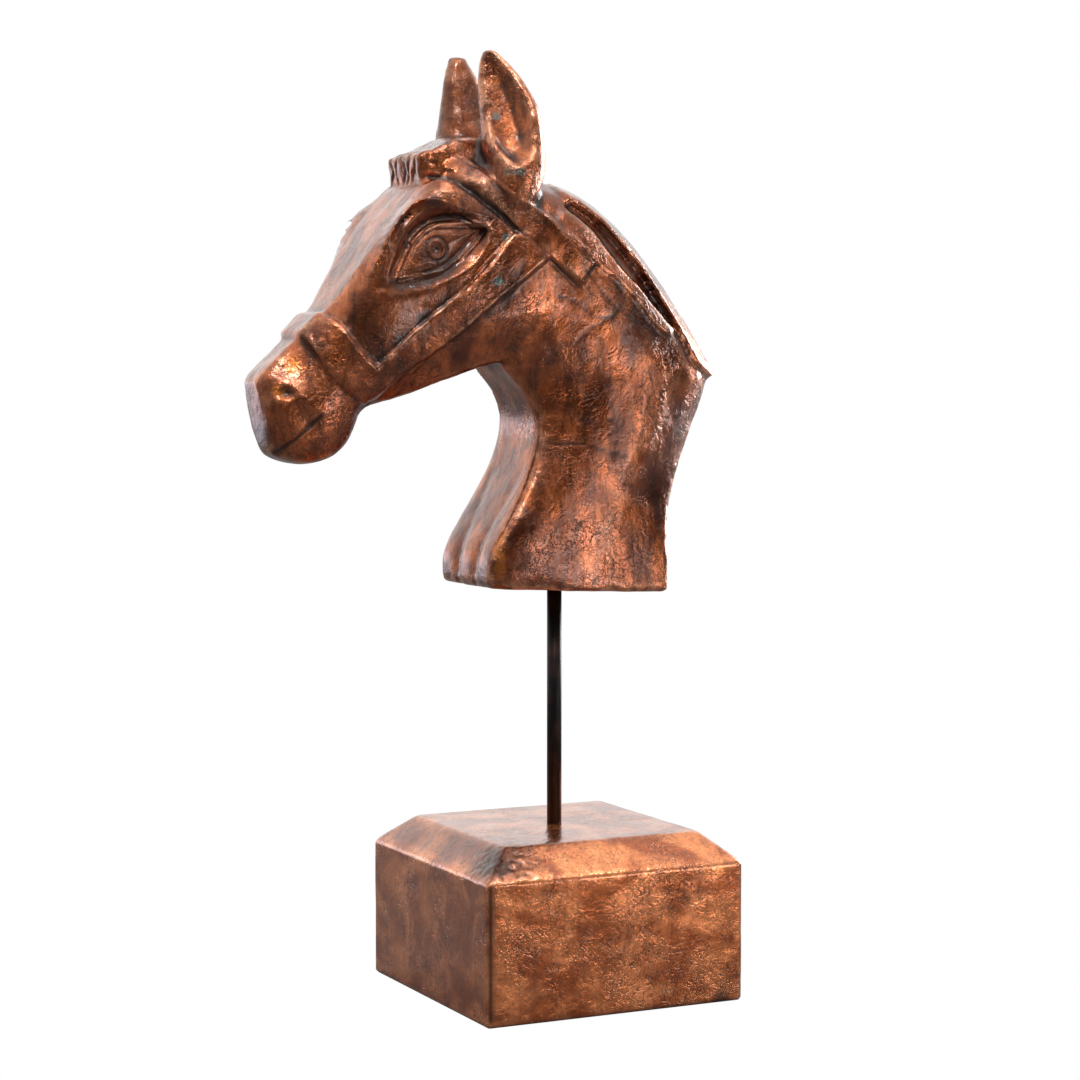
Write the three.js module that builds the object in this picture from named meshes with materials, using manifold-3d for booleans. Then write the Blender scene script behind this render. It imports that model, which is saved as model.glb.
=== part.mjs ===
// A carved horse head, clad in thin copper sheet, on an iron rod and a square plinth.
// Millimetres, +Z up, the horse faces -X, and Y = 0 is the plane of symmetry.
// The origin is the middle of the plinth's underside.
import * as THREE from 'three'
import { mergeVertices } from 'three/addons/utils/BufferGeometryUtils.js'
import Module from 'manifold-3d'

const wasm = await Module()
wasm.setup()

// ---- driving dimensions ----
const PLINTH_SIDE = 180
const PLINTH_WALL = 90 // upright part of each side
const PLINTH_BEVEL = 18.2 // height of the sloping edge above it
const PLINTH_INSET = 21 // how far that slope runs in
const PLINTH_CORNER = 3 // rounding of the upright edges
const ROD_RADIUS = 4.75
const ROD_SINK = 30 // how far the rod goes into the plinth and into the neck
const FIT_GAP = 0.3 // clearance round each end of the rod
const NECK_FOOT = 262 // height of the neck's underside at the rod
const NECK_TILT = 2.9 // degrees by which that underside rises to the front
const STRAP_RISE = 2.6 // how far the bridle straps stand off the head
const NOSEBAND_RISE = 3.2
const MANE_RISE = 3.2
const SLAB_RISE = 1.6
const MANE_LINE_DEPTH = 2
const BIG = 400 // longer than the head, for cutting tools

const PLINTH_TOP = PLINTH_WALL + PLINTH_BEVEL

// ---- solids ----
/** A manifold solid from a closed geometry. */
function solid(geometry) {
  geometry.deleteAttribute('normal')
  geometry.deleteAttribute('uv')
  const merged = mergeVertices(geometry, 1e-4)
  const mesh = new wasm.Mesh({
    numProp: 3,
    vertProperties: new Float32Array(merged.attributes.position.array),
    triVerts: new Uint32Array(merged.index.array),
  })
  return new wasm.Manifold(mesh)
}

/** The finished geometry of a manifold solid. */
function geometryOf(manifold) {
  const mesh = manifold.getMesh()
  const geometry = new THREE.BufferGeometry()
  geometry.setAttribute('position', new THREE.BufferAttribute(mesh.vertProperties, 3))
  geometry.setIndex(new THREE.BufferAttribute(mesh.triVerts, 1))
  geometry.computeVertexNormals()
  return geometry
}

/** The same solid on the other side of the plane of symmetry. */
function mirrored(geometry) {
  const copy = geometry.clone()
  copy.scale(1, -1, 1)
  const index = copy.index.array
  for (let i = 0; i < index.length; i += 3) {
    const first = index[i]
    index[i] = index[i + 1]
    index[i + 1] = first
  }
  return copy
}

/** Closed skin through rings of equally many [x, y, z] points, with a fan on each end. */
function skin(rings) {
  const count = rings[0].length
  const points = rings.flat()
  const faces = []
  for (let r = 0; r + 1 < rings.length; r++) {
    for (let i = 0; i < count; i++) {
      const a = r * count + i
      const b = r * count + ((i + 1) % count)
      faces.push(a, b, a + count)
      faces.push(b, b + count, a + count)
    }
  }
  for (const r of [0, rings.length - 1]) {
    const centre = points.length
    points.push([0, 1, 2].map((k) => rings[r].reduce((sum, p) => sum + p[k], 0) / count))
    for (let i = 0; i < count; i++) {
      const a = r * count + i
      const b = r * count + ((i + 1) % count)
      faces.push(...(r === 0 ? [centre, b, a] : [centre, a, b]))
    }
  }
  const geometry = new THREE.BufferGeometry()
  geometry.setAttribute('position', new THREE.Float32BufferAttribute(points.flat(), 3))
  geometry.setIndex(faces)
  return outward(geometry)
}

/** Turns the faces of a closed geometry to point out. */
function outward(geometry) {
  const p = geometry.attributes.position
  const index = geometry.index.array
  const [a, b, c] = [new THREE.Vector3(), new THREE.Vector3(), new THREE.Vector3()]
  let volume = 0
  for (let i = 0; i < index.length; i += 3) {
    a.fromBufferAttribute(p, index[i])
    b.fromBufferAttribute(p, index[i + 1])
    c.fromBufferAttribute(p, index[i + 2])
    volume += a.dot(b.cross(c))
  }
  if (volume < 0) {
    for (let i = 0; i < index.length; i += 3) {
      const first = index[i]
      index[i] = index[i + 1]
      index[i + 1] = first
    }
  }
  return geometry
}

/** A side outline of [x, z] corners, made solid from y = from to y = to. */
function plate(corners, from, to) {
  const shape = new THREE.Shape(corners.map(([x, z]) => new THREE.Vector2(x, z)))
  const geometry = new THREE.ExtrudeGeometry(shape, { depth: to - from, bevelEnabled: false })
  geometry.rotateX(Math.PI / 2)
  geometry.translate(0, to, 0)
  return solid(geometry)
}

/** Points on a smooth line through [x, z] corners. */
function smooth(corners, steps) {
  const curve = new THREE.SplineCurve(corners.map(([x, z]) => new THREE.Vector2(x, z)))
  return curve.getPoints(steps).map((p) => [p.x, p.y])
}

// ---- the carved blank: sections hung between a leading and a trailing line ----
/** Catmull-Rom value between b and c. */
function blend(a, b, c, d, t) {
  const [v0, v1] = [(c - a) / 2, (d - b) / 2]
  return ((2 * b - 2 * c + v0 + v1) * t + (3 * c - 3 * b - 2 * v0 - v1)) * t * t + v0 * t + b
}

/** Adds evenly spaced rows between the given ones. */
function refined(rows, steps) {
  const out = []
  for (let i = 0; i + 1 < rows.length; i++) {
    const [p, q] = [rows[Math.max(i - 1, 0)], rows[Math.min(i + 2, rows.length - 1)]]
    for (let s = 0; s < steps; s++) {
      out.push(rows[i].map((v, k) => blend(p[k], v, rows[i + 1][k], q[k], s / steps)))
    }
  }
  out.push(rows[rows.length - 1])
  return out
}

/** Cuts the corners of an open outline, so that its edges are softened. */
function softened(points, cut) {
  const out = [points[0]]
  for (let i = 1; i + 1 < points.length; i++) {
    for (const end of [points[i - 1], points[i + 1]]) {
      out.push(points[i].map((v, k) => v + (end[k] - v) * cut))
    }
  }
  out.push(points[points.length - 1])
  return out
}

/**
 * One section: a row is [x1, z1, x2, z2, half-widths...], with a half-width for each level
 * between the leading point (x1, z1) and the trailing point (x2, z2).
 */
function section(row, levels, grow) {
  const [x1, z1, x2, z2, ...widths] = row
  const reach = grow / Math.hypot(x2 - x1, z2 - z1)
  const half = softened(
    levels.map((level, i) => [level + (level * 2 - 1) * reach, Math.max(widths[i] + grow, 1)]),
    0.18
  )
  const at = ([u, y], side) => [x1 + (x2 - x1) * u, side * y, z1 + (z2 - z1) * u]
  const near = half.map((p) => at(p, -1))
  const far = half.map((p) => at(p, 1)).reverse()
  return [...near, ...far]
}

const NECK_LEVELS = [0, 0.09, 0.3, 0.62, 0.88, 1]
const NECK_ROWS = [
  [-64, 240, 67, 240, 38, 40, 41, 40, 36, 34],
  [-64, 282, 67, 282, 38, 41, 42, 40, 35, 32],
  [-55, 301, 68, 301, 39, 42, 42, 40, 33, 28],
  [-41, 325, 74.5, 323, 36, 40, 41, 39, 29, 22],
  [-31, 346, 84.5, 345, 33, 37, 40, 39, 25, 16],
  [-26, 370, 98.5, 371, 31, 35, 39, 38, 22, 9],
  [-34, 390, 109, 398, 26, 31, 38, 38, 24, 7],
  [-45, 402, 101, 414.5, 23, 30, 37, 39, 27, 6],
  [-56, 420, 81, 443, 22, 32, 38, 40, 29, 6],
  [-60, 440, 58.5, 472, 22, 34, 40, 40, 29, 6],
  [-62, 462, 34.5, 496, 22, 34, 40, 40, 29, 6],
  [-62, 480, 8.5, 513, 22, 34, 39, 38, 28, 7],
  [-60, 494, -16, 520.5, 20, 30, 34, 34, 26, 9],
]

const HEAD_LEVELS = [0, 0.1, 0.3, 0.55, 0.82, 1]
const HEAD_ROWS = [
  [0, 515, -6, 424, 12, 30, 38, 40, 39, 28],
  [-35, 527, -38, 411, 22, 34, 40, 42, 39, 26],
  [-70, 531, -66, 403, 24, 36, 42, 42, 37, 24],
  [-99, 522, -90, 394.5, 25, 40, 42, 40, 34, 20],
  [-114.5, 507, -103, 389.5, 28, 42, 42, 38, 32, 18],
  [-130, 488, -114, 385.5, 27, 40, 40, 37, 30, 17],
  [-144, 468, -124, 383, 25, 34, 37, 36, 28, 16],
  [-155.5, 451, -131, 381, 22, 28, 32, 32, 26, 15],
  [-166, 437, -135, 380, 16, 24, 29, 30, 25, 14],
  [-183, 421, -141, 374.5, 14, 18.5, 25, 28, 23, 13],
  [-191.5, 413, -145.5, 362, 14, 17.5, 24, 28, 23, 14],
  [-200, 405, -157.5, 349, 14.5, 17.5, 25, 26.5, 23, 14],
  [-205, 400.5, -179, 344, 15, 18, 24, 24, 21, 14],
  [-208.5, 396, -199, 350.5, 12, 15, 16.5, 16, 14, 10],
]

function neck(grow = 0) {
  return solid(skin(refined(NECK_ROWS, 2).map((row) => section(row, NECK_LEVELS, grow))))
}

function skull(grow = 0) {
  return solid(skin(refined(HEAD_ROWS, 2).map((row) => section(row, HEAD_LEVELS, grow))))
}

// ---- the carved bridle ----
/** Everything of the head's surface inside a side outline, standing off it by rise. */
function raised(corners, from, to, rise) {
  return neck(rise).add(skull(rise)).intersect(plate(corners, from, to))
}

function noseband() {
  const front = [
    [-190, 432],
    [-180, 422.5],
    [-171.5, 409],
    [-160.5, 396.5],
    [-142, 381.5],
  ]
  const back = [
    [-133.5, 384],
    [-134.5, 402],
    [-148, 413.5],
    [-158, 427],
    [-166, 434.5],
    [-176, 450],
  ]
  return raised([...front, ...back], -BIG, BIG, NOSEBAND_RISE)
}

/** Strap from the noseband up the cheek to the back of the eye. */
function cheekStrap() {
  const upper = [
    [-139, 402],
    [-108, 430],
    [-80, 451],
    [-60, 473],
    [-44, 490],
  ]
  const lower = [
    [-24, 474],
    [-58, 447],
    [-88, 422],
    [-116, 402],
    [-130, 388],
  ]
  return [...smooth(upper, 10), ...smooth(lower, 10)]
}

/** Strap from the forelock, under the ear, to its square end behind the cheek. */
function browStrap() {
  const upper = [
    [-76, 538],
    [-58, 522],
    [-40, 508],
    [-14, 492],
    [8, 472],
  ]
  const lower = [
    [0, 456],
    [-24, 474],
    [-48, 492],
    [-66, 513],
    [-88, 528],
  ]
  return [...smooth(upper, 10), ...smooth(lower, 10)]
}

// ---- mane, forelock and ears ----
const CREST_EDGE = [
  [-4, 509],
  [6, 505],
  [21, 495],
  [35, 481],
  [50, 467],
  [61, 451],
  [70, 439],
  [77, 430],
]
const CREST_FOOT = [
  [73, 428],
  [66, 434],
  [55, 445],
  [42, 458],
  [29, 469],
  [19, 480],
  [11, 490],
  [1, 498],
  [-10, 505],
]
const SLAB_FOOT = [
  [-17, 496],
  [-9, 486],
  [1, 476],
  [15, 467.5],
  [28, 460],
  [44, 445],
  [55, 433],
  [66, 425],
]

/** The crest's slab, which ends in a step down to the side of the neck. */
function crest() {
  const corners = [...CREST_EDGE, [90, 408], [130, 388], [60, 540], [-20, 540]]
  return neck(MANE_RISE).intersect(plate(corners, -BIG, BIG))
}

/** The lower, thinner slab of the mane on each side of the neck. */
function maneSlab() {
  return neck(SLAB_RISE).intersect(plate([...CREST_FOOT, ...SLAB_FOOT], -BIG, BIG))
}

/** The deep line between the crest and the slab under it. */
function maneLine() {
  const shell = neck(MANE_RISE + 1).subtract(neck(-MANE_LINE_DEPTH))
  return shell.intersect(plate([...CREST_EDGE, ...CREST_FOOT], -BIG, BIG))
}

const FORELOCK_ROWS = [
  [-106.5, 535.5, -104, 519, 25, 26, 26],
  [-93, 540, -90, 512, 25, 26, 26],
  [-78, 548, -76, 508, 20, 24, 26],
  [-58, 547, -58, 505, 14, 20, 26],
]

function forelock() {
  const levels = [0, 0.3, 1]
  return solid(skin(refined(FORELOCK_ROWS, 2).map((row) => section(row, levels, 0))))
}

const EAR_SIDES = 18
const EAR_TOP = 602

/** An ear: height, centre along its width, its half-width and its half-thickness. */
const EAR_ROWS = [
  [488, -2, 8, 9],
  [504, 3, 15, 17],
  [526, 5.5, 19.5, 19],
  [548, 4, 20, 16],
  [566, 2, 19, 12.5],
  [582, -3, 15, 9],
  [594, -7.5, 9.5, 7],
  [EAR_TOP, -10.5, 3.5, 4.5],
]

// Each ear's place, the turn of its hollow towards the front, its forward lean in mm per mm
// of height, and the least half-width of its tip: the far ear is turned less and cut blunt.
const NEAR_EAR = { x: -47, y: -26, turn: 32, lean: 0, tip: 3.5 }
const FAR_EAR = { x: -47.5, y: -26, turn: 10, lean: 0.17, tip: 6.5 }

// The hollow: height, its front rim, valley and rear rim across the ear from -1 to 1, and the
// valley's place through the thickness.
const EAR_HOLLOW = [
  [529, 0.2, 0.36, 0.44, -20],
  [534, -0.1, 0.4, 0.66, -13],
  [541, -0.42, 0.36, 0.84, -8],
  [548, -0.6, 0.28, 0.9, -5],
  [566, -0.82, 0.1, 0.93, -2.5],
  [583, -0.85, 0.08, 0.93, -1.5],
  [594, -0.78, 0.05, 0.84, -2],
  [600, -0.35, 0.05, 0.4, -4],
]
// How far out the rim of the cut lies, and its open end, against the ear's thickness.
const HOLLOW_RIM = 0.65
const HOLLOW_REACH = 1.3

/** The ear's row at a height between two given ones. */
function earRow(z) {
  const i = EAR_ROWS.findIndex((row) => row[0] > z) - 1
  const [low, high] = [EAR_ROWS[i], EAR_ROWS[i + 1]]
  const t = (z - low[0]) / (high[0] - low[0])
  return low.map((v, k) => v + (high[k] - v) * t)
}

function ear({ x, y, turn, lean, tip }) {
  const rings = refined(EAR_ROWS, 2).map(([z, shift, half, thick]) => {
    const ring = []
    const centre = shift - lean * (EAR_TOP - z)
    for (let i = 0; i < EAR_SIDES; i++) {
      const angle = (i / EAR_SIDES) * Math.PI * 2
      ring.push([centre + Math.max(half, tip) * Math.cos(angle), thick * Math.sin(angle), z])
    }
    return ring
  })
  const hollow = EAR_HOLLOW.map(([z, front, valley, rear, depth]) => {
    const [, shift, half, thick] = earRow(z)
    const at = (across) => shift - lean * (EAR_TOP - z) + half * across
    return [
      [at(front), -thick * HOLLOW_RIM, z],
      [at(front), -thick * HOLLOW_REACH, z],
      [at(rear), -thick * HOLLOW_REACH, z],
      [at(rear), -thick * HOLLOW_RIM, z],
      [at(valley), depth, z],
    ]
  })
  return [rings, hollow].map(skin).map((geometry) => {
    geometry.rotateZ(THREE.MathUtils.degToRad(-turn))
    geometry.translate(x, y, 0)
    return geometry
  })
}

/** Both ears, each with its hollow cut. */
function ears() {
  const [near, nearHollow] = ear(NEAR_EAR)
  const [far, farHollow] = ear(FAR_EAR).map(mirrored)
  const both = solid(near).subtract(solid(nearHollow))
  return both.add(solid(far).subtract(solid(farHollow)))
}

// ---- brows and eyes ----
// Each row: a point on the sharp edge of the brow, then where its facet meets the forehead.
const BROW_ROWS = [
  [-143, -33, 455, -147, -24, 462],
  [-139.4, -38, 466, -144, -25, 468],
  [-135.5, -41, 475, -138, -26, 477],
  [-130.3, -46.5, 489, -130, -27, 488],
  [-121, -48.5, 502.5, -117, -28, 504],
  [-113.5, -48, 505.5, -109, -30, 513],
  [-104.5, -46, 507.5, -101, -34, 519.5],
  [-94, -44, 507, -91, -38, 520.5],
  [-82.5, -42.5, 501.5, -80, -38.5, 515],
  [-71, -41.5, 494.5, -68, -38.5, 507],
  [-63.5, -40, 491, -57, -38, 499],
  [-55, -36, 486, -50, -34, 490],
]
const BROW_ROOT = 12 // how far the brow runs on into the head
const BROW_DROP = 3 // how far that root leans back and down

/** The flat facet that ends in a sharp edge over each eye. */
function brow() {
  const rings = refined(BROW_ROWS, 2).map(([x1, y1, z1, x2, y2, z2]) => [
    [x1, y1, z1],
    [x2, y2, z2],
    [x2 + BROW_DROP, y2 + BROW_ROOT, z2 - BROW_DROP],
    [x1 + BROW_DROP, y1 + BROW_ROOT, z1 - BROW_DROP / 3],
  ])
  return solid(skin(rings))
}

// Each row: a point on the socket's rim, the point on its floor below it, and that floor's y.
const SOCKET_ROWS = [
  [-139.3, 459, -131, 457, -36],
  [-136.6, 466.5, -128, 463, -35],
  [-132.6, 475.5, -122.5, 472, -34],
  [-127.2, 487, -117, 482, -33.5],
  [-118.8, 499.6, -111, 489, -33.5],
  [-112.3, 502.7, -106.5, 492.5, -33.5],
  [-103.7, 504.4, -100, 495, -33.5],
  [-94.2, 504, -92, 496, -33.5],
  [-83.2, 498.9, -83, 496, -33.5],
  [-72.5, 492.4, -74, 494, -34],
  [-64.5, 490.5, -67, 491, -35],
  [-65.5, 487, -68.5, 488, -35.5],
  [-66, 482, -71, 484, -36],
  [-69, 476, -75, 479, -36.5],
  [-72.5, 471, -79, 474, -37],
  [-78, 466.5, -84, 469, -37],
  [-84, 462, -89.5, 465, -37.3],
  [-91.5, 457, -96, 461, -37.5],
  [-99, 453, -103, 458, -37.5],
  [-108, 451, -110, 456, -37.3],
  [-125, 449.5, -121, 454, -37],
  [-137, 451.5, -128.5, 454, -36.5],
]
const SOCKET_RIM = -42
const SOCKET_MOUTH = -56

/** The hollow that holds the eye, which narrows from its rim to its floor. */
function eyeSocket() {
  const rim = (y) => SOCKET_ROWS.map(([x, z]) => [x, y, z])
  const floor = SOCKET_ROWS.map(([, , x, z, y]) => [x, y, z])
  return solid(skin([rim(SOCKET_MOUTH), rim(SOCKET_RIM), floor]))
}

const LIDS = [
  [-127.5, 455.5],
  [-124.8, 461],
  [-120.8, 469],
  [-116.8, 477],
  [-112.1, 483.2],
  [-105.4, 489.2],
  [-97.3, 492.5],
  [-87.2, 493.3],
  [-77.1, 492.5],
  [-66, 491],
  [-71.6, 486.5],
  [-78.4, 480.3],
  [-83.9, 473.9],
  [-92, 467],
  [-100.8, 462.6],
  [-110.8, 460],
  [-118.8, 458],
]
const PUPIL = [-100.5, 477]

// The mound's rings: how large each is against the lids, and how far out it lies.
const EYE_RINGS = [
  [1, -30],
  [1, -35],
  [0.95, -37],
  [0.82, -38.4],
  [0.55, -39.6],
  [0.25, -40.2],
]

/** The eyeball and its lids, as one low almond mound in the socket. */
function eye() {
  const ring = ([scale, y]) =>
    LIDS.map(([x, z]) => [PUPIL[0] + (x - PUPIL[0]) * scale, y, PUPIL[1] + (z - PUPIL[1]) * scale])
  return solid(skin(EYE_RINGS.map(ring)))
}

// ---- nostrils and mouth ----
function nostril() {
  const hollow = new THREE.SphereGeometry(1, 14, 8)
  hollow.scale(6.5, 4, 3.6)
  hollow.rotateY(THREE.MathUtils.degToRad(12))
  hollow.translate(-193.5, -24.5, 389)
  return solid(hollow)
}

/** The slit between the lips, from the corner of the mouth forward and down. */
function mouth() {
  const line = [
    [-169.5, -26.8, 374.5],
    [-179, -25, 366],
    [-187.5, -23, 359.5],
    [-197, -20, 354],
    [-208, -16, 349.5],
  ]
  return groove(line, [0, 1, 0], 2.4, 3.6)
}

// ---- grooves and folds ----
const GROOVE_STEPS = 8

/** A V-shaped groove under a line: it starts as a point and is deepest after a quarter. */
function groove(line, inward, halfWidth, depth) {
  const curve = new THREE.CatmullRomCurve3(line.map((p) => new THREE.Vector3(...p)))
  const into = new THREE.Vector3(...inward).normalize()
  const rings = []
  for (let i = 0; i <= GROOVE_STEPS; i++) {
    const t = i / GROOVE_STEPS
    const swell = t < 0.25 ? 0.1 + 0.9 * Math.sin(2 * Math.PI * t) : 1.25 - t
    const centre = curve.getPointAt(t)
    const across = curve.getTangentAt(t).cross(into).setLength(halfWidth * swell * 3)
    const outer = centre.clone().addScaledVector(into, -2 * depth * swell)
    const inner = centre.clone().addScaledVector(into, depth * swell)
    rings.push([outer.clone().sub(across), outer.clone().add(across), inner])
  }
  return solid(skin(rings.map((ring) => ring.map((p) => p.toArray()))))
}

/** One of the two folds that run down the chest and draw together. */
function chestFold() {
  const line = [
    [-31, -23, 346],
    [-45, -19, 325],
    [-59, -14, 295],
    [-66, -12, 255],
  ]
  return groove(line, [0.95, 0.1, -0.1], 6.5, 7)
}

// ---- the pieces ----
/** Both sides of a solid that is made for the near side. */
function paired(manifold) {
  const geometry = geometryOf(manifold)
  return manifold.add(solid(mirrored(geometry)))
}

function cylinderAlongZ(radius, bottom, top, sides) {
  const geometry = new THREE.CylinderGeometry(radius, radius, top - bottom, sides)
  geometry.rotateX(Math.PI / 2)
  geometry.translate(0, 0, (top + bottom) / 2)
  return geometry
}

function rodSocket(bottom, top) {
  return solid(cylinderAlongZ(ROD_RADIUS + FIT_GAP, bottom - FIT_GAP, top + FIT_GAP, 24))
}

/** Everything below the neck's slightly sloping underside. */
function belowNeck() {
  const box = new THREE.BoxGeometry(BIG, BIG, 100)
  box.translate(0, 0, -50)
  box.rotateY(THREE.MathUtils.degToRad(NECK_TILT))
  box.translate(0, 0, NECK_FOOT)
  return solid(box)
}

function horseHead() {
  let head = neck().add(skull()).add(paired(brow())).subtract(paired(eyeSocket()))
  head = head.add(paired(eye())).subtract(paired(nostril())).subtract(paired(mouth()))
  head = head.add(noseband()).add(raised(cheekStrap(), -BIG, BIG, STRAP_RISE))
  head = head.add(raised(browStrap(), -BIG, BIG, STRAP_RISE)).add(crest()).add(maneSlab())
  head = head.subtract(maneLine())
  head = head.add(forelock()).add(ears())
  head = head.subtract(paired(chestFold())).subtract(belowNeck())
  return head.subtract(rodSocket(NECK_FOOT - 20, NECK_FOOT + ROD_SINK))
}

function plinth() {
  const half = PLINTH_SIDE / 2
  const levels = [
    [half, 0],
    [half, PLINTH_WALL],
    [half - PLINTH_INSET, PLINTH_TOP],
  ]
  const rings = levels.map(([side, z]) => {
    const ring = []
    for (let corner = 0; corner < 4; corner++) {
      for (let i = 0; i <= 3; i++) {
        const angle = ((corner + i / 3) * Math.PI) / 2
        const [cx, cy] = [
          [1, 1],
          [-1, 1],
          [-1, -1],
          [1, -1],
        ][corner]
        const centre = side - PLINTH_CORNER
        const x = cx * centre + PLINTH_CORNER * Math.cos(angle)
        ring.push([x, cy * centre + PLINTH_CORNER * Math.sin(angle), z])
      }
    }
    return ring
  })
  return solid(skin(rings)).subtract(rodSocket(PLINTH_TOP - ROD_SINK, PLINTH_TOP + 20))
}

function piece(name, geometry, colour, roughness, metalness) {
  const material = new THREE.MeshStandardMaterial({ color: colour, roughness, metalness })
  const mesh = new THREE.Mesh(geometry, material)
  mesh.name = name
  return mesh
}

const rodBottom = PLINTH_TOP - ROD_SINK
const rodTop = NECK_FOOT + ROD_SINK
const statue = new THREE.Group()
statue.add(piece('plinth', geometryOf(plinth()), '#8b5236', 0.35, 0.9))
statue.add(piece('rod', cylinderAlongZ(ROD_RADIUS, rodBottom, rodTop, 24), '#1e1a1b', 0.5, 0.8))
statue.add(piece('horse_head', geometryOf(horseHead()), '#8b5236', 0.35, 0.9))

export default statue
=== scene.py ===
"""A carved horse head in hammered-on copper sheet, on an iron rod and a copper-clad block."""

import math

import bmesh
import bpy
import numpy as np
from mathutils import Matrix, Vector, noise
from mathutils.bvhtree import BVHTree


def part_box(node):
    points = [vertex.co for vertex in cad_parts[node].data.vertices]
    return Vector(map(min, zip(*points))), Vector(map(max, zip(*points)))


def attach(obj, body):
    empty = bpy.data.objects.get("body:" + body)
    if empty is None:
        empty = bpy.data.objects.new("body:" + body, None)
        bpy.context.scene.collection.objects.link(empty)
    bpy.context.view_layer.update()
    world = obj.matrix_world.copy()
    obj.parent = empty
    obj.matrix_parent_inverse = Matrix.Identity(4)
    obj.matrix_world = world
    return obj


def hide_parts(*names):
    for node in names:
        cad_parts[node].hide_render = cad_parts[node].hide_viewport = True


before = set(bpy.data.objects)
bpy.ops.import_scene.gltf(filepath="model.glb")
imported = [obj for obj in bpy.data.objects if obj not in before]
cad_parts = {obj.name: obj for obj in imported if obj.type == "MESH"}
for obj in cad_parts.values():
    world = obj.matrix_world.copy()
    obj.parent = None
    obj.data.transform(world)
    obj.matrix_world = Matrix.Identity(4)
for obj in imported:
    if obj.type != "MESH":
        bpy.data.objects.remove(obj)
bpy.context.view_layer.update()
MM = 0.001
SLANT = math.tan(math.radians(26))  # the lines on the sides are cut at this slant

# ---------------------------------------------------------------- what is cut on the sides, as [x, z] in mm

SOCKET = [(-139, 459), (-132, 476), (-126, 488), (-118, 500), (-104, 505), (-92, 504), (-82, 499),
          (-66, 491), (-66, 482), (-74, 474), (-88, 466), (-104, 456), (-124, 452)]
UPPER_LID = [(-118, 481), (-111, 487), (-104, 491), (-94, 492.5), (-82, 492.5), (-72, 491.5), (-65, 491)]
EYEBALL = [(-124, 459.5), (-117, 472), (-113, 480), (-108, 485), (-101, 489), (-91, 489.5), (-80, 489.5),
           (-71, 489.5), (-76, 483), (-85, 472.5), (-95, 465), (-107, 462)]
HOLLOW = [(-146, 450), (-138, 492), (-112, 512), (-58, 500), (-58, 480), (-86, 452)]
HOLLOW_FOOT = [(-137, 458), (-124, 452), (-104, 456), (-88, 466), (-77, 472)]
BROW_EDGE = [(-143, 455), (-139, 466), (-135, 475), (-130, 489), (-121, 502), (-113, 505), (-104, 507),
             (-94, 507), (-82, 501), (-71, 494)]
PUPIL = (-100.5, 476.5)
LOWER_LID = [(-134, 454), (-124, 453), (-110, 455.5), (-97, 459.5), (-87, 466)]
EYE_REAR = [(-67, 489), (-74, 480), (-81, 473)]
UNDER_BROWBAND = [(-105, 522), (-94, 521), (-85, 517), (-75, 511), (-65, 504), (-55, 497), (-46, 489)]
BROWBAND_TOP = [(-80, 532), (-70, 527), (-61, 521), (-50, 512), (-36, 505), (-25, 499), (-15, 489),
                (-4, 484), (6, 477), (13, 469)]
BROWBAND_FOOT = [(-45, 488), (-37, 486), (-26, 476), (-19, 468), (-12, 462), (-3, 454), (11, 470)]
BROWBAND_PLATE = [(-84, 530), (-71, 526), (-62, 520), (-70, 511), (-82, 518)]
STRAP_TOP = [(-139, 403), (-124, 417), (-111, 428), (-97, 439), (-84, 449), (-70, 464), (-60, 474),
             (-50, 483), (-44, 487)]
STRAP_FOOT = [(-119, 401), (-105, 412), (-92, 421), (-81, 429), (-71, 438), (-58, 448), (-44, 458),
              (-33, 467), (-26, 472)]
CHEEK = [(-140, 446), (-118, 446), (-86, 456), (-100, 444), (-128, 420), (-150, 424)]
NOSEBAND_FRONT = [(-180, 423), (-172, 408.5), (-161, 396), (-142, 381)]
NOSEBAND_BACK = [(-166, 434), (-158, 427), (-148, 413), (-136, 402)]
TACKS = [((-171, 419), 24), ((-156, 432), 27)]
CREST_EDGE = [(-4, 509), (6, 505), (21, 495), (35, 481), (50, 467), (61, 451), (70, 439), (77, 430)]
MANE_FOOT = [(-21, 500), (-13, 489), (1, 475), (15, 467), (28, 462), (44, 447), (55, 433), (65, 426)]
THROAT = [(-49, 412), (-26, 419), (-24, 412), (-28, 404), (-46, 406)]
MUZZLE_RIDGE = [(-201, 398), (-197, 397), (-185, 388), (-171, 376)]
MOUTH = [(-169.5, 374.5), (-179, 366), (-187.5, 359.5), (-197, 354), (-208, 349.5)]
AMBER = [((-190, 405), 5, 7), ((-200, 391), 5, 6), ((-57, 286), 5, 22)]
VERDIGRIS = [((-58, 457), 4, 3), ((-53, 485), 3, 3), ((-44, 525), 10, 2), ((-59, 560), 2, 3)]
NECK_CREASE = [(85, 419), (61, 383), (42, 351), (19, 301), (11, 266)]
SEAMS = [
    [(-16, 449), (-5, 446), (5, 439), (12, 435), (23, 436), (30, 444), (28, 453), (23, 459)],
    [(-5, 418), (5, 428), (16, 433), (28, 441)],
    [(-39, 470), (-47, 452), (-54, 440)],
    [(-30, 355), (-16, 356), (2, 356), (13, 352), (31, 348)],
    [(-5, 380), (-2, 371), (13, 369), (23, 371)],
    [(0, 470), (18, 448), (36, 436), (58, 424)],
]
PLINTH_WALL = 90
PLINTH_INSET = 21
PLINTH_EDGE = 1.6
HEAD_FACE = 2.1  # the size of the even faces that a piece is remade in, in mm
PLINTH_FACE = 1.8
THIN_EDGE_GROWTH = 1.2
CLOSE_ABOVE_CAD = 1.0
SUNK_INTO_PLINTH = 0.25
BOX_MARGIN = 0.1

# ---------------------------------------------------------------- studio


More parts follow.
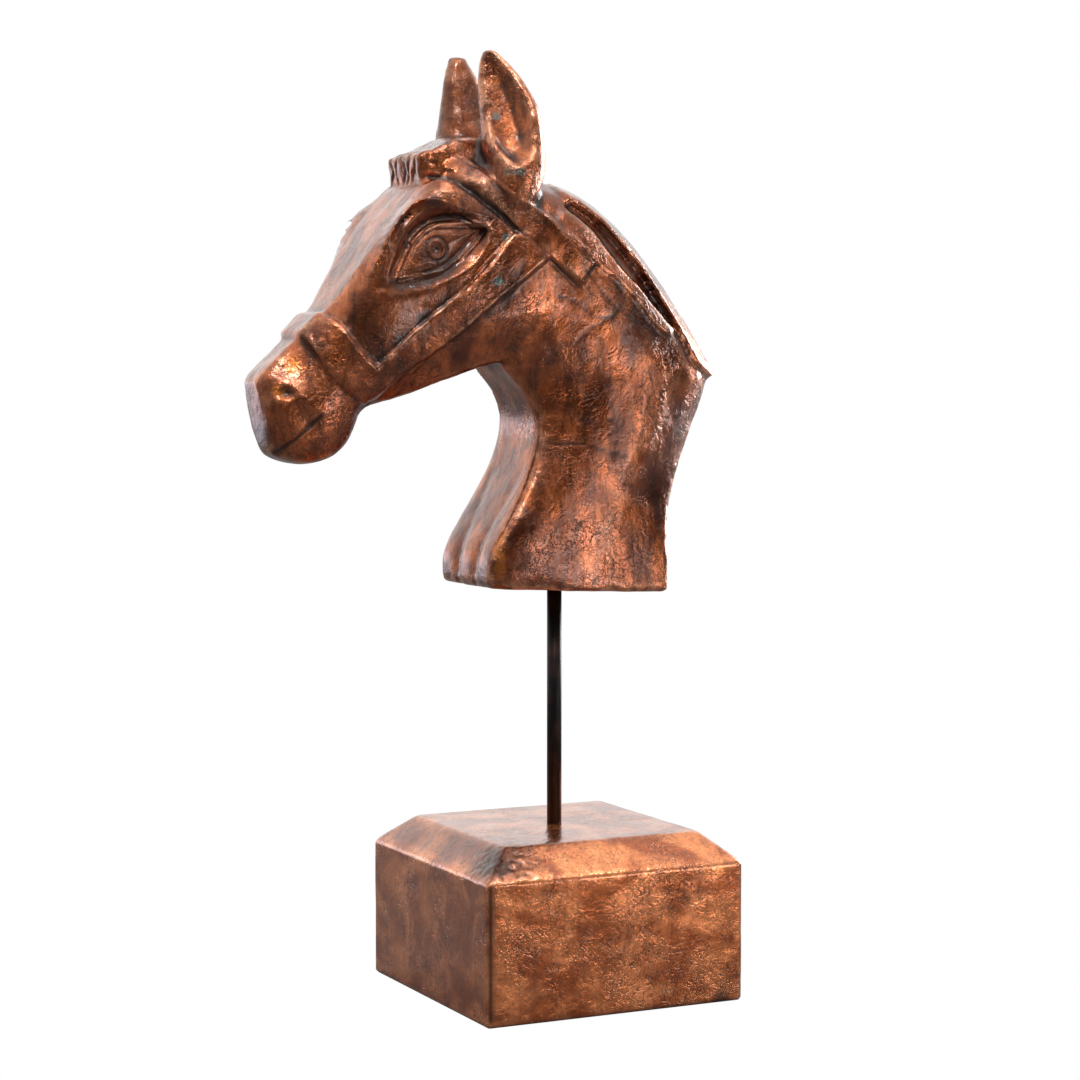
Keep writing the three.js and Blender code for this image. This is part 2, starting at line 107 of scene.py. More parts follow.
def studio():
    """A pale floor, a white sweep behind, and soft lights that each sheet of the copper mirrors."""
    turn = math.radians(-26.04)
    rise = math.radians(3.59)
    back = Vector((math.sin(turn) * math.cos(rise), -math.cos(turn) * math.cos(rise), math.sin(rise)))
    aim = Vector((-0.0083, 0.0041, 0.2925))
    camera_data = bpy.data.cameras.new("camera")
    camera_data.lens = 90.51
    camera_data.clip_end = 50
    camera = bpy.data.objects.new("camera", camera_data)
    camera.location = aim + back * 1.7592
    camera.rotation_euler = (-back).to_track_quat("-Z", "Y").to_euler()
    bpy.context.scene.collection.objects.link(camera)
    bpy.context.scene.camera = camera
    bpy.context.scene.view_settings.view_transform = "Standard"

    soft_light("light_over", (0.5, -0.75, 2.1), (0, 0, 0.45), (0.8, 0.5), 4.5)
    soft_light("light_left_front", (-0.5, -1.3, 1.6), (-0.15, 0, 0.42), (0.32, 0.2), 8)
    soft_light("light_right_front", (0.6, -1.25, 1.7), (-0.1, 0, 0.5), (0.32, 0.2), 6)
    soft_light("light_right", (1.85, 0.6, 0.72), (0, 0, 0.45), (0.6, 0.9), 30)
    soft_light("light_side", (1.2, -1.55, 0.3), (0.02, 0, 0.36), (0.7, 0.7), 3.4)
    soft_light("light_low_side", (0.75, -1.35, 0.05), (0.03, 0, 0.05), (0.5, 0.14), 1.7)
    soft_light("light_cool", (-0.95, 1.9, 0.2), (0, 0, 0.2), (1.0, 0.8), 3.5, (0.68, 0.8, 1.0))
    room_light()
    floor()


def soft_light(name, place, aim, size, power, tint=(1, 1, 1)):
    data = bpy.data.lights.new(name, "AREA")
    data.shape = "RECTANGLE"
    data.size, data.size_y = size
    data.energy = power
    data.color = tint
    light = bpy.data.objects.new(name, data)
    light.location = place
    light.rotation_euler = (Vector(aim) - Vector(place)).to_track_quat("-Z", "Y").to_euler()
    light.visible_camera = False
    bpy.context.scene.collection.objects.link(light)


def room_light():
    """White behind the object and dimmer in front, as round a table against a white sweep."""
    world = bpy.data.worlds.new("room")
    bpy.context.scene.world = world
    world.use_nodes = True
    tree = world.node_tree
    tree.nodes.clear()
    way = node(tree, "ShaderNodeTexCoord").outputs["Generated"]
    facing = node(tree, "ShaderNodeVectorMath", {0: way, 1: (-0.1, 0.35, 0.85)}, operation="DOT_PRODUCT")
    glow = node(
        tree,
        "ShaderNodeMapRange",
        {
            "Value": facing.outputs["Value"],
            "From Min": -0.2,
            "From Max": 0.55,
            "To Min": 0.06,
            "To Max": 1.15,
        },
    ).outputs[0]
    seen = node(tree, "ShaderNodeLightPath").outputs["Is Camera Ray"]
    strength = node(tree, "ShaderNodeMix", {0: seen, 2: glow, 3: 1.0}, data_type="FLOAT").outputs[0]
    light = node(tree, "ShaderNodeBackground", {"Color": (1, 1, 1, 1), "Strength": strength})
    node(tree, "ShaderNodeOutputWorld", {"Surface": light.outputs[0]})


def floor():
    """White paper to the eye, and a dimmer ground to what it is mirrored in."""
    bm = bmesh.new()
    bmesh.ops.create_grid(bm, x_segments=1, y_segments=1, size=6)
    piece = made("floor", bm)
    material = bpy.data.materials.new("matt white paper")
    material.use_nodes = True
    tree = material.node_tree
    shader = tree.nodes["Principled BSDF"]
    shader.inputs["Base Color"].default_value = linear("6E6A68")
    shader.inputs["Roughness"].default_value = 0.9
    seen = node(tree, "ShaderNodeLightPath").outputs["Is Camera Ray"]
    white = node(tree, "ShaderNodeEmission", {"Color": (1, 1, 1, 1), "Strength": 1.0})
    shown = node(tree, "ShaderNodeMixShader", {0: seen, 1: shader.outputs[0], 2: white.outputs[0]})
    tree.links.new(shown.outputs[0], tree.nodes["Material Output"].inputs["Surface"])
    piece.data.materials.append(material)


# ---------------------------------------------------------------- helpers


def linear(code):
    """An sRGB hex colour as linear RGBA."""
    parts = [int(code[i : i + 2], 16) / 255 for i in (0, 2, 4)]
    return [c / 12.92 if c <= 0.04045 else ((c + 0.055) / 1.055) ** 2.4 for c in parts] + [1.0]


def node(tree, kind, inputs=None, **settings):
    """Adds a node, with its settings, and its inputs as values or as links."""
    added = tree.nodes.new(kind)
    for name, value in settings.items():
        setattr(added, name, value)
    for name, value in (inputs or {}).items():
        if isinstance(value, bpy.types.NodeSocket):
            tree.links.new(value, added.inputs[name])
        else:
            added.inputs[name].default_value = value
    return added


def made(name, bm):
    """A new object from a bmesh, at the origin."""
    mesh = bpy.data.meshes.new(name)
    bm.to_mesh(mesh)
    bm.free()
    piece = bpy.data.objects.new(name, mesh)
    bpy.context.scene.collection.objects.link(piece)
    return piece


def finished(piece, stands_for, material):
    """Joins a finished piece to the frame and gives it its finish."""
    for polygon in piece.data.polygons:
        polygon.use_smooth = True
    piece.data.materials.clear()
    piece.data.materials.append(material)
    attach(piece, "root")
    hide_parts(stands_for)


def ramp(value, low, high):
    """0 at low, 1 at high, eased in between."""
    t = np.clip((value - low) / (high - low), 0, 1)
    return t * t * (3 - 2 * t)


# ---------------------------------------------------------------- the head's surface


class Skin:
    """The vertices of a closed mesh, in millimetres, that relief is pressed into."""

    def __init__(self, piece):
        self.mesh = piece.data
        count = len(self.mesh.vertices)
        flat = np.empty(count * 3)
        self.mesh.vertices.foreach_get("co", flat)
        self.points = flat.reshape(-1, 3) / MM
        pairs = np.empty(len(self.mesh.edges) * 2, np.int64)
        self.mesh.edges.foreach_get("vertices", pairs)
        self.start, self.end = pairs.reshape(-1, 2).T
        self.degree = np.bincount(self.start, minlength=count) + np.bincount(self.end, minlength=count)
        self.refresh()

    def neighbours(self, values):
        """The mean of each vertex's neighbours."""
        count = len(self.points)
        total = np.stack(
            [
                np.bincount(self.start, column[self.end], count)
                + np.bincount(self.end, column[self.start], count)
                for column in values.T
            ],
            axis=1,
        )
        return total / self.degree[:, None]

    def smoothed(self, values, rounds):
        for _ in range(rounds):
            values = 0.5 * values + 0.5 * self.neighbours(values)
        return values

    def refresh(self):
        """Writes the points to the mesh and reads its normals back."""
        self.mesh.vertices.foreach_set("co", (self.points * MM).ravel())
        self.mesh.update()
        flat = np.empty(len(self.points) * 3)
        self.mesh.vertices.foreach_get("normal", flat)
        self.normals = flat.reshape(-1, 3)

    def press(self, depth):
        """Moves the surface in by depth, or out where it is negative."""
        self.points -= self.normals * depth[:, None]
        self.refresh()

    def store(self, name, values):
        layer = self.mesh.attributes.new(name, "FLOAT", "POINT")
        layer.data.foreach_set("value", np.clip(values, 0, 1).astype(np.float32))

    def side(self):
        """1 on the two sides of the head, 0 on its top, front and underside."""
        return ramp(np.abs(self.normals[:, 1]), 0.12, 0.45)

    def near(self, line, out, width):
        """1 on a line, falling to 0 beyond its width. The line is drawn that far out from the middle."""
        gap = distance_to(side_view(self.points, out), line) / width
        return np.exp(-gap * gap) * self.side()

    def covered(self, outline, out, soft):
        """1 inside an outline on both sides, falling to 0 over a soft edge outside it."""
        view = side_view(self.points, out)
        gap = distance_to(view, outline + outline[:1])
        return np.where(inside(view, outline), 1, 1 - ramp(gap, 0, soft)) * self.side()


def side_view(points, out):
    """[x, z] of each point, carried along the viewing slant to a plane that far from the middle."""
    x, y, z = points.T
    return np.stack([x + SLANT * (np.abs(y) - out), z], axis=1)


def distance_to(points, line):
    """How far each [x, z] point is from a line through [x, z] corners."""
    nearest = np.full(len(points), 1e9)
    for a, b in zip(np.array(line[:-1], float), np.array(line[1:], float)):
        along = np.clip(((points - a) @ (b - a)) / ((b - a) @ (b - a)), 0, 1)
        gap = np.linalg.norm(points - a - along[:, None] * (b - a), axis=1)
        nearest = np.minimum(nearest, gap)
    return nearest


def inside(points, outline):
    """Whether each [x, z] point is inside a closed outline."""
    found = np.zeros(len(points), bool)
    x, z = points.T
    for (x1, z1), (x2, z2) in zip(outline, outline[1:] + outline[:1]):
        crosses = (z1 > z) != (z2 > z)
        if z1 != z2:
            found ^= crosses & (x < (x2 - x1) * (z - z1) / (z2 - z1) + x1)
    return found


# ---------------------------------------------------------------- materials


def copper_sheet(name, mid, light, crumple_mm, stained, streak, beaten):
    """Copper sheet, beaten over wood: painted shade in its folds and hollows, rubbed-bright edges with a
    painted highlight, and waxed.

    stained is how far dark stains cover it, streak below 1 draws the stains out upwards, and
    beaten is how deep the hammer's dents look.
    """
    material = bpy.data.materials.new(name)
    material.use_nodes = True
    tree = material.node_tree
    shader = tree.nodes["Principled BSDF"]
    place = node(tree, "ShaderNodeTexCoord").outputs["Object"]

    def cloud(size_mm, detail=4.0, rough=0.55, warp=0.0, at=None):
        inputs = {"Vector": at or place, "Scale": 1 / (size_mm * MM)}
        inputs.update({"Detail": detail, "Roughness": rough, "Distortion": warp})
        return node(tree, "ShaderNodeTexNoise", inputs).outputs["Fac"]

    def curve(value, low, high, out_low=0.0, out_high=1.0):
        inputs = {"Value": value, "From Min": low, "From Max": high, "To Min": out_low, "To Max": out_high}
        return node(tree, "ShaderNodeMapRange", inputs, interpolation_type="SMOOTHSTEP").outputs[0]

    def maths(kind, a, b=0.5):
        return node(tree, "ShaderNodeMath", {0: a, 1: b}, operation=kind).outputs[0]

    def mixed(amount, a, b):
        return node(tree, "ShaderNodeMix", {0: amount, 6: a, 7: b}, data_type="RGBA").outputs[2]

    def painted(name):
        return node(tree, "ShaderNodeAttribute", attribute_name=name).outputs["Fac"]

    def fold(size_mm, width, at):
        """Thin winding creases, 1 on each crease."""
        away = maths("ABSOLUTE", maths("SUBTRACT", cloud(size_mm, 2.0, 0.5, 0.8, at), 0.5))
        return curve(away, 0.0, width, 1.0, 0.0)

    # read from the vertices: painted shade mixed with dirt, and painted highlight mixed with wear
    dirt_and_painted_shade = painted("dirt_and_painted_shade")
    wear_and_painted_highlight = maths("MULTIPLY", painted("wear_and_painted_highlight"), curve(cloud(9, 3.0), 0.42, 0.6, 0.1, 1.0))
    streaked = node(tree, "ShaderNodeMapping", {"Vector": place, "Scale": (1.0, 1.0, streak)}).outputs[0]
    drawn = node(tree, "ShaderNodeMapping", {"Vector": place, "Scale": (1.0, 1.0, 0.14)}).outputs[0]

    # where the sheet is crumpled: winding folds in two sizes, in patches
    patches = curve(cloud(38, 2.0), 0.42, 0.62, 0.12, 1.0)
    folds = maths("MULTIPLY", fold(crumple_mm, 0.025, place), patches)
    small_folds = maths("MULTIPLY", fold(crumple_mm * 0.45, 0.035, place), patches)

    # brown patina in broad clouds, rubbed streaks, dark stains and grain
    colour = mixed(curve(cloud(30, 3.0, 0.5, 0.6, streaked), 0.36, 0.66), mid, light)
    colour = mixed(curve(cloud(5, 4.0, 0.6, 0.3, drawn), 0.48, 0.7, 0.0, stained), colour, linear("43200F"))
    stains = curve(cloud(13, 6.0, 0.6, 0.7, streaked), 0.45, 0.7, 0.0, stained)
    colour = mixed(stains, colour, linear("331509"))
    colour = mixed(curve(cloud(1.7, 5.0, 0.65), 0.48, 0.72, 0.0, 0.5), colour, linear("2E1810"))
    # painted shade along the folds
    colour = mixed(maths("MULTIPLY", maths("MAXIMUM", folds, small_folds), 0.6), colour, linear("241009"))
    # edges rubbed bright, with a painted highlight on them
    colour = mixed(maths("MULTIPLY", wear_and_painted_highlight, 0.7), colour, linear("E8A27C"))
    # painted shade in hollows and creases, mixed with dirt
    colour = mixed(maths("MULTIPLY", dirt_and_painted_shade, 0.9), colour, linear("1E100B"))
    colour = mixed(painted("amber"), colour, linear("D4782A"))
    colour = mixed(painted("verdigris"), colour, linear("4F7C77"))
    tree.links.new(colour, shader.inputs["Base Color"])

    height = maths("MULTIPLY", cloud(11, 5.0, 0.6, 1.0), 1.1)
    height = maths("ADD", height, maths("MULTIPLY", cloud(2.4, 4.0, 0.65, 0.5), 0.24))
    height = maths("SUBTRACT", height, maths("MULTIPLY", folds, 0.35))
    height = maths("SUBTRACT", height, maths("MULTIPLY", small_folds, 0.2))
    bump = node(tree, "ShaderNodeBump", {"Height": height, "Strength": beaten, "Distance": 1.0 * MM})
    tree.links.new(bump.outputs[0], shader.inputs["Normal"])
    wax = node(tree, "ShaderNodeBump", {"Height": height, "Strength": 0.7 * beaten, "Distance": 1.0 * MM})
    tree.links.new(wax.outputs[0], shader.inputs["Coat Normal"])

    rough = curve(cloud(16, 5.0, 0.6, 0.4), 0.3, 0.7, 0.17, 0.32)
    rough = maths("ADD", rough, maths("MULTIPLY", dirt_and_painted_shade, 0.2))
    tree.links.new(rough, shader.inputs["Roughness"])
    shader.inputs["Metallic"].default_value = 0.9
    shader.inputs["Coat Weight"].default_value = 0.85
    shader.inputs["Coat Roughness"].default_value = 0.1
    return material


def blackened_iron():
    """Bare iron bar, blackened by the forge and handled brown in patches."""
    material = bpy.data.materials.new("blackened iron bar")
    material.use_nodes = True
    tree = material.node_tree
    shader = tree.nodes["Principled BSDF"]
    place = node(tree, "ShaderNodeTexCoord").outputs["Object"]
    cloud = node(tree, "ShaderNodeTexNoise", {"Vector": place, "Scale": 1 / (14 * MM), "Detail": 5.0})
    rust = node(
        tree,
        "ShaderNodeMapRange",
        {"Value": cloud.outputs["Fac"], "From Min": 0.45, "From Max": 0.68},
    ).outputs[0]
    tint = node(
        tree,
        "ShaderNodeMix",
        {0: rust, 6: linear("161214"), 7: linear("35231C")},
        data_type="RGBA",
    ).outputs[2]
    tree.links.new(tint, shader.inputs["Base Color"])
    grain = node(tree, "ShaderNodeTexNoise", {"Vector": place, "Scale": 1 / (1.6 * MM), "Detail": 3.0})
    bump = node(
        tree,
        "ShaderNodeBump",
        {"Height": grain.outputs["Fac"], "Strength": 0.25, "Distance": 0.3 * MM},
    )
    tree.links.new(bump.outputs[0], shader.inputs["Normal"])
    shader.inputs["Metallic"].default_value = 0.7
    shader.inputs["Roughness"].default_value = 0.42
    return material


# ---------------------------------------------------------------- the pieces


def even_faces(name, bm, face_mm):
    """One closed skin of even faces, round a bmesh's shape."""
    blank = made(name + "_blank", bm)
    remesh = blank.modifiers.new("even skin", "REMESH")
    remesh.mode = "VOXEL"
    remesh.voxel_size = face_mm * MM
    held = blank.evaluated_get(bpy.context.evaluated_depsgraph_get())
    skin = bmesh.new()
    skin.from_mesh(held.data)
    bpy.data.objects.remove(blank)
    return skin


def head_skin():
    """The solid head as one closed skin of even faces, its thin brow fattened to keep it whole."""
    bm = bmesh.new()
    bm.from_mesh(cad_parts["horse_head"].data)
    bmesh.ops.remove_doubles(bm, verts=bm.verts, dist=1e-6)
    bm.normal_update()
    thin = brow_edge(np.array([v.co for v in bm.verts]) / MM)
    for vert, amount in zip(bm.verts, thin):
        vert.co += vert.normal * (float(amount) * THIN_EDGE_GROWTH * MM)
    bm = even_faces("head", bm, HEAD_FACE)
    keep_largest_part(bm)
    return bm


def keep_largest_part(bm):
    """Drops the scraps that the remesh leaves beside a thin edge."""
    seen = set()
    parts = []
    for first in bm.verts:
        if first in seen:
            continue
        seen.add(first)
        part = [first]
        for vert in part:
            for edge in vert.link_edges:
                other = edge.other_vert(vert)
                if other not in seen:
                    seen.add(other)
                    part.append(other)
        parts.append(part)
    parts.sort(key=len)
    scraps = [vert for part in parts[:-1] for vert in part]
    bmesh.ops.delete(bm, geom=scraps, context="VERTS")


def split_where(bm, wanted):
    """Halves every edge whose two ends are wanted, given a test of points in mm."""
    found = wanted(np.array([v.co for v in bm.verts]) / MM)
    bm.verts.index_update()
    edges = [e for e in bm.edges if found[e.verts[0].index] and found[e.verts[1].index]]
    bmesh.ops.subdivide_edges(bm, edges=edges, cuts=1, use_grid_fill=True)


def round_the_eyes(points):
    """In the hollows that the eyes lie in."""
    return inside(side_view(points, 38), HOLLOW) & (np.abs(points[:, 1]) > 26)


def on_the_eyes(points):
    """On the eyeballs and their lids."""
    view = side_view(points, 38)
    close = (distance_to(view, EYEBALL + EYEBALL[:1]) < 5) | inside(view, EYEBALL)
    return close & (np.abs(points[:, 1]) > 30)


def on_fine_lines(points):
    """Near the straps, bands, crest and forelock, and round the eyes."""
    found = round_the_eyes(points)
    for line, out, reach in [
        (STRAP_TOP, 38, 3),
        (STRAP_FOOT, 40, 3),
        (BROWBAND_TOP, 38, 3),
        (BROWBAND_FOOT, 40, 3),
        (UNDER_BROWBAND, 41, 3),
        (NOSEBAND_BACK, 29, 3),
        (NOSEBAND_FRONT, 27, 3),
        (CREST_EDGE, 24, 4),
        (MANE_FOOT, 34, 3),
    ]:
        found |= distance_to(side_view(points, out), line) < reach
    x, y, z = points.T
    forelock = (x < -84) & (z > 517)
    mouth = (x < -168) & (x > -203) & (z < 386) & (z > 345) & (np.abs(y) > 15)
    return found | forelock | mouth


def clad_head():
    bm = head_skin()
    split_where(bm, on_fine_lines)
    split_where(bm, on_the_eyes)
    solid = bmesh.new()
    solid.from_mesh(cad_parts["horse_head"].data)
    tree = BVHTree.FromBMesh(solid)
    bm.normal_update()
    thin = brow_edge(np.array([v.co for v in bm.verts]) / MM)
    for vert, loose in zip(bm.verts, thin > 0.05):
        spot, facing, _, gap = tree.find_nearest(vert.co)
        if not loose and gap < CLOSE_ABOVE_CAD * MM and facing.dot(vert.normal) > 0.8:
            vert.co = spot
    solid.free()
    bmesh.ops.triangulate(bm, faces=[f for f in bm.faces if len(f.verts) > 4])
    head = made("clad_head", bm)

    surface = Skin(head)
    surface.points = surface.smoothed(surface.points, 3)
    surface.refresh()
    for softness, where in (
        (10, soft_places(surface.points)),
        (14, chest(surface.points)),
        (40, under_the_eye(surface.points)),
        (50, brow_edge(surface.points)),
    ):
        eased = surface.smoothed(surface.points, softness)
        surface.points += (eased - surface.points) * where[:, None]
    surface.refresh()
    carve(surface)
    swell = np.array([noise.noise(Vector(p) / 15) + 0.5 * noise.noise(Vector(p) / 6) for p in surface.points])
    surface.press(0.3 * swell)
    low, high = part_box("horse_head")
    low, high = np.array(low) / MM, np.array(high) / MM
    surface.points = np.clip(surface.points, low + BOX_MARGIN, high - BOX_MARGIN)
    surface.refresh()

    relaxed = surface.smoothed(surface.points, 16)
    broad = ((relaxed - surface.points) * surface.normals).sum(axis=1)
    fine = ((surface.smoothed(surface.points, 4) - surface.points) * surface.normals).sum(axis=1)
    # painted shadow under the browband, the lower lid and the crest's edge; painted shade in the mouth, the
    # eye's socket, over the cheek, in the ring round the iris and in the pupil; dark seams
    lines = surface.near(UNDER_BROWBAND, 41, 2.2) + 0.5 * surface.near(LOWER_LID, 37, 4.5)
    lines += 0.6 * surface.near(MOUTH, 22, 1.6) + 0.5 * surface.near(shifted(CREST_EDGE, -3, -6), 26, 3.5)
    lines += 0.4 * surface.covered(SOCKET, 41, 2.0) + 0.35 * surface.covered(CHEEK, 38, 14)
    for seam in SEAMS:
        lines += 0.8 * surface.near(seam, 38, 0.9)
    away = np.hypot(*(side_view(surface.points, 39.5) - PUPIL).T)
    eye = np.abs(surface.points[:, 1]) > 30
    lines += eye * (np.exp(-(((away - 7.3) / 1.2) ** 2)) * 0.4 + np.exp(-((away / 2.0) ** 2)))
    # painted shade over the far ear
    far_ear_painted_shade = 0.5 * ramp(surface.points[:, 2], 535, 545) * ramp(surface.points[:, 1], 2, 8)
    # painted shade in hollows and creases, with the patina lying there
    recess = 0.9 * ramp(broad, 0.2, 1.2) + 0.9 * ramp(fine, 0.05, 0.3)
    surface.store("dirt_and_painted_shade", even(surface, recess) + lines + far_ear_painted_shade)
    for name, spots in (("amber", AMBER), ("verdigris", VERDIGRIS)):
        amount = np.zeros(len(surface.points))
        ragged = 0.5 * np.array([noise.noise(Vector(p) / 4) for p in surface.points])
        for (x, z), wide, tall in spots:
            view = side_view(surface.points, 38 if x > -150 else 24)
            away = np.hypot((view[:, 0] - x) / wide, (view[:, 1] - z) / tall)
            amount += (1 - ramp(away + ragged, 0.5, 1.1)) * surface.side()
        surface.store(name, 0.6 * amount)
    # painted highlights along the neck's crease, the straps' edges and the upper lid
    rubbed = 0.3 * surface.near(NECK_CREASE, 38, 7) + 0.35 * surface.near(STRAP_TOP, 38, 1.2)
    rubbed += 0.25 * surface.near(STRAP_FOOT, 40, 1.2) + 0.3 * surface.near(UPPER_LID, 40, 1.6)
    # lighter on ridges and edges: rubbed-bright wear with a painted highlight
    edges = 0.35 * ramp(-broad, 0.3, 1.6) + 0.9 * ramp(-fine, 0.05, 0.25)
    surface.store("wear_and_painted_highlight", even(surface, edges) + rubbed)
    copper = copper_sheet(
        "patinated copper sheet",
        mid=linear("74340F"),
        light=linear("C46A38"),
        crumple_mm=8,
        stained=0.6,
        streak=0.5,
        beaten=0.5,
    )
    finished(head, "horse_head", copper)


def even(surface, values):
    """A painted value, evened out a little from vertex to vertex."""
    return surface.smoothed(values[:, None], 3)[:, 0]


def soft_places(points):
    """1 on the front of the muzzle and on the forelock, which are rounded over."""
    x, y, z = points.T
    return np.maximum(0.8 * ramp(-x, 194, 204), ramp(z, 514, 522) * ramp(-x, 60, 70))


def brow_edge(points):
    """1 along the brow's edge, which is rounded over where the sheet is drawn across it."""
    gap = distance_to(side_view(points, 46), BROW_EDGE)
    return (1 - ramp(gap, 2.5, 6)) * (np.abs(points[:, 1]) > 36)


def under_the_eye(points):
    """1 where the eye's hollow runs out softly into the cheek."""
    gap = distance_to(side_view(points, 38), HOLLOW_FOOT)
    return (1 - ramp(gap, 2, 7)) * (np.abs(points[:, 1]) > 28)


def chest(points):
    """1 down the front of the neck, whose folds are rounded lobes."""
    x, y, z = points.T
    return ramp(-x, 0, 22) * (1 - ramp(z, 372, 400)) * ramp(z, 262, 268)


def carve(surface):
    """Presses the carver's finer lines into the two sides."""
    side = surface.side()
    surface.press(1.2 * surface.covered(EYEBALL, 38, 0.9))
    above_lid = surface.near(shifted(UPPER_LID, 0, 4), 39, 2.0)
    surface.press(above_lid - 1.1 * surface.near(UPPER_LID, 40, 1.9))
    surface.press(0.5 * surface.near(LOWER_LID, 37, 4.0) + 0.9 * surface.near(EYE_REAR, 38, 1.4))
    away = np.hypot(*(side_view(surface.points, 39.5) - PUPIL).T)
    iris = -0.5 * np.exp(-(((away - 5) / 1.2) ** 2)) + 0.4 * np.exp(-(((away - 7.2) / 0.9) ** 2))
    iris += 0.35 * np.exp(-(((away - 3.1) / 0.7) ** 2)) + 1.0 * np.exp(-((away / 1.6) ** 2))
    surface.press(iris * side * (np.abs(surface.points[:, 1]) > 30))

    surface.press(1.9 * surface.near(UNDER_BROWBAND, 41, 1.9))
    surface.press(-0.8 * surface.near(STRAP_TOP, 38, 1.3))
    surface.press(-0.5 * surface.near(STRAP_FOOT, 40, 1.1))
    surface.press(0.8 * surface.near(BROWBAND_FOOT, 40, 1.2) - 0.6 * surface.near(BROWBAND_TOP, 38, 1.3))
    surface.press(-1.0 * surface.covered(BROWBAND_PLATE, 38, 1.0))
    surface.press(-0.6 * surface.near(NOSEBAND_BACK, 29, 1.3) - 0.5 * surface.near(NOSEBAND_FRONT, 27, 1.2))
    surface.press(-0.5 * surface.near(MANE_FOOT, 34, 2.0) - 0.5 * surface.near(CREST_EDGE, 24, 1.4))
    surface.press(-0.5 * surface.covered(THROAT, 36, 3.0))
    under_ridge = surface.near(shifted(MUZZLE_RIDGE, -6, -7), 25, 6.0)
    surface.press(1.3 * under_ridge - 0.4 * surface.near(MUZZLE_RIDGE, 25, 2.5))
    surface.press(1.1 * surface.near(MOUTH, 22, 1.4))
    for tack, out in TACKS:
        away = np.hypot(*(side_view(surface.points, out) - tack).T)
        surface.press(-0.8 * (1 - ramp(away, 1.2, 2.2)) * side)
    for seam in SEAMS:
        surface.press(0.35 * surface.near(seam, 38, 1.0))

    # locks of the forelock, notched down its front end, and its crumpled top and sides
    x, y, z = surface.points.T
    drift = np.array([noise.noise(Vector(p) / 9) for p in surface.points])
    front = ramp(-x, 92, 100) * ramp(z, 516, 521)
    locks = np.abs(np.sin(y * math.pi / 8.5 + 2.2 * drift))
    surface.press(front * (1.6 * (1 - locks) ** 2 - 0.2))
    tuft = ramp(z, 519, 525) * ramp(-x, 50, 58) * (z < 558) * (np.abs(y) < 30)
    surface.press(tuft * folded(surface.points, 15) * 0.55)
    # the far ear's rough foil
    far = ramp(z, 535, 545) * ramp(y, 4, 10)
    surface.press(far * folded(surface.points, 8) * 0.22)


def folded(points, size):
    """Sharp-edged folds about 0, a given size in mm across."""
    ridges = [noise.ridged_multi_fractal(Vector(p) / size, 0.8, 2.1, 3, 1.0, 2.0) for p in points]
    return np.array(ridges) - 1.2


def shifted(line, x, z):
    return [(a + x, b + z) for a, b in line]


def rod():
    low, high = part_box("rod")
    radius = (high.x - low.x) / 2
    bm = bmesh.new()
    bmesh.ops.create_cone(
        bm,
        cap_ends=True,
        segments=40,
        radius1=radius,
        radius2=radius,
        depth=high.z - low.z,
        matrix=Matrix.Translation((low + high) / 2),
    )
    bar = made("iron_bar", bm)
    finished(bar, "rod", blackened_iron())


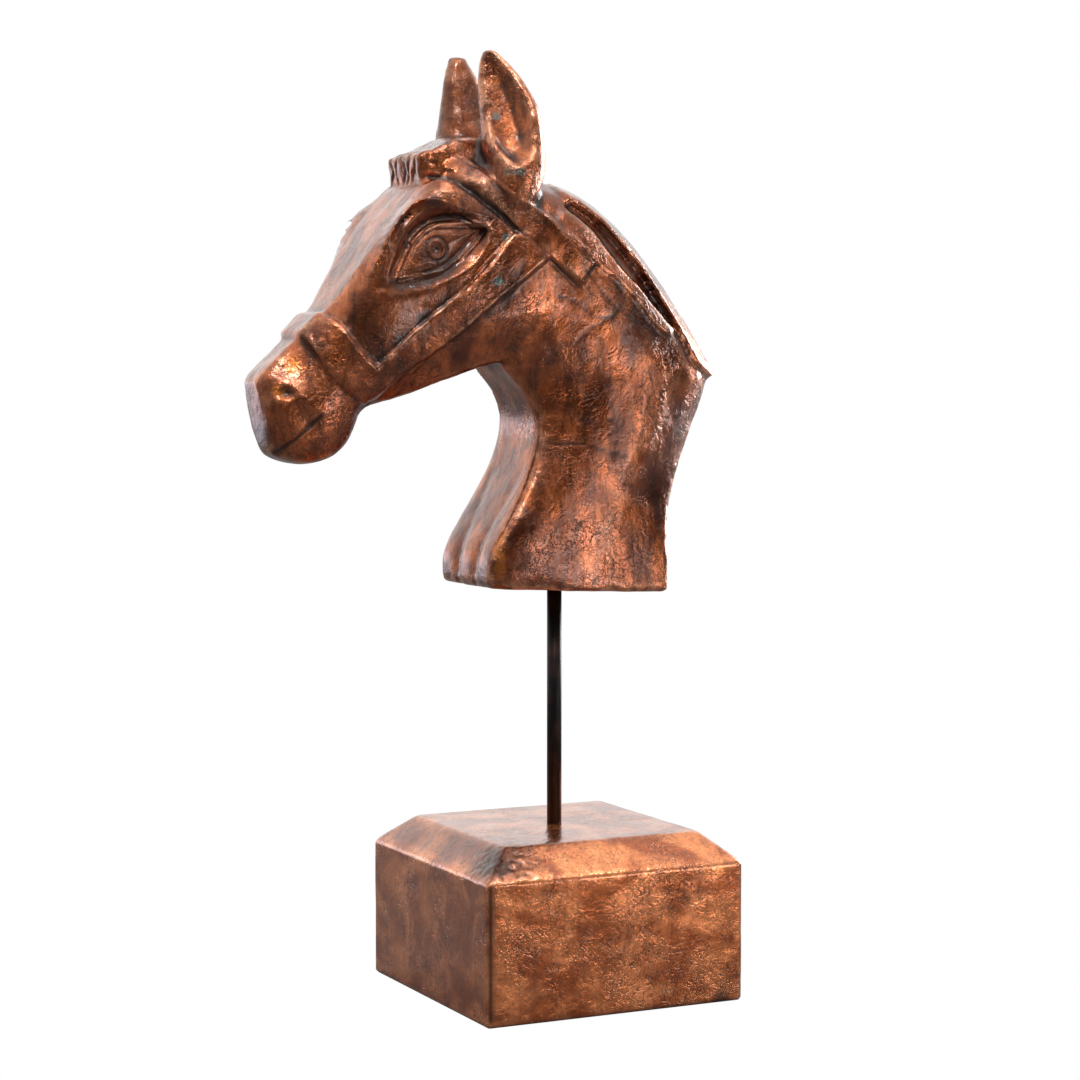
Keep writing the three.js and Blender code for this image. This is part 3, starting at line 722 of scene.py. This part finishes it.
def plinth():
    low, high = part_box("plinth")
    side = high.x - low.x
    bm = bmesh.new()
    bmesh.ops.create_cube(bm, size=1.0)
    bmesh.ops.scale(bm, vec=(side, side, PLINTH_WALL * MM), verts=bm.verts)
    bmesh.ops.translate(bm, vec=(0, 0, low.z + PLINTH_WALL * MM / 2), verts=bm.verts)
    top = max(bm.faces, key=lambda f: f.calc_center_median().z)
    rise = high.z - low.z - PLINTH_WALL * MM
    bmesh.ops.inset_region(bm, faces=[top], thickness=PLINTH_INSET * MM, depth=0, use_even_offset=True)
    for vert in top.verts:
        vert.co.z += rise
    bmesh.ops.bevel(
        bm,
        geom=bm.edges[:],
        offset=PLINTH_EDGE * MM,
        segments=2,
        profile=0.5,
        affect="EDGES",
        material=-1,
    )
    bmesh.ops.triangulate(bm, faces=[f for f in bm.faces if len(f.verts) > 4])
    block = made("clad_plinth", even_faces("plinth", bm, PLINTH_FACE))

    surface = Skin(block)
    surface.points = surface.smoothed(surface.points, 2)
    surface.refresh()
    half = side / 2 / MM
    x, y, z = surface.points.T
    swell = np.array([noise.noise(Vector(p) / 26) + 0.4 * noise.noise(Vector(p) / 8) for p in surface.points])
    surface.press(SUNK_INTO_PLINTH + 0.25 * swell * ramp(z, 2, 8))
    # sheets lapped beside the front upright edge, and crumpled along the top front edge
    lap = np.exp(-(((x + half - 2.5) / 1.2) ** 2)) * (y < 4 - half)
    lap *= ramp(z, 2, 6) * ramp(-z, -92, -86)
    surface.press(0.7 * lap)
    folds = folded(surface.points, 7) + 0.2
    corner = np.hypot(x + half - 16, y + half - 16)
    rim = np.abs(z - PLINTH_WALL - rise / MM) < 4
    crumple = (1 - ramp(corner, 8, 34)) * ramp(z, PLINTH_WALL - 4, PLINTH_WALL + 4)
    crumple = np.maximum(crumple, 0.3 * rim * (y < 26 - half) * ramp(half - 30 - np.abs(x), 0, 20))
    surface.press(crumple * folds * 0.9)
    # darker along the bottom 3 mm
    low_edge = 1 - ramp(z, 0, 3)
    surface.points[:, 2] = np.maximum(surface.points[:, 2], low.z / MM)
    surface.refresh()
    relaxed = surface.smoothed(surface.points, 16)
    hollow = ((relaxed - surface.points) * surface.normals).sum(axis=1)
    fine = ((surface.smoothed(surface.points, 4) - surface.points) * surface.normals).sum(axis=1)
    stain = 1 - ramp(np.hypot(x - half + 16, z - 3) + 3 * swell, 4, 9)
    # painted shade on the left sloping face
    left_slope_painted_shade = ramp(-x, half - 24, half - 16) * ramp(z, 91, 96)
    # painted shade in hollows and creases, with the patina lying there
    recess = 0.8 * ramp(hollow, 0.3, 1.0) + 0.8 * ramp(fine, 0.06, 0.35)
    # darker along the lapped seam, along the bottom edge and over the crumpled corner
    handled = lap + 0.4 * low_edge + 0.5 * crumple
    surface.store("dirt_and_painted_shade", recess + handled + 0.8 * stain * (y < 4 - half) + 0.45 * left_slope_painted_shade)
    # lighter on ridges and edges: rubbed-bright wear with a painted highlight
    surface.store("wear_and_painted_highlight", ramp(-hollow, 0.25, 1.0) * 0.5 + ramp(-fine, 0.04, 0.2) * 0.5)
    copper = copper_sheet(
        "patinated copper on the block",
        mid=linear("AE5A2C"),
        light=linear("F0945C"),
        crumple_mm=10,
        stained=0.25,
        streak=1.3,
        beaten=0.36,
    )
    finished(block, "plinth", copper)


studio()
clad_head()
rod()
plinth()
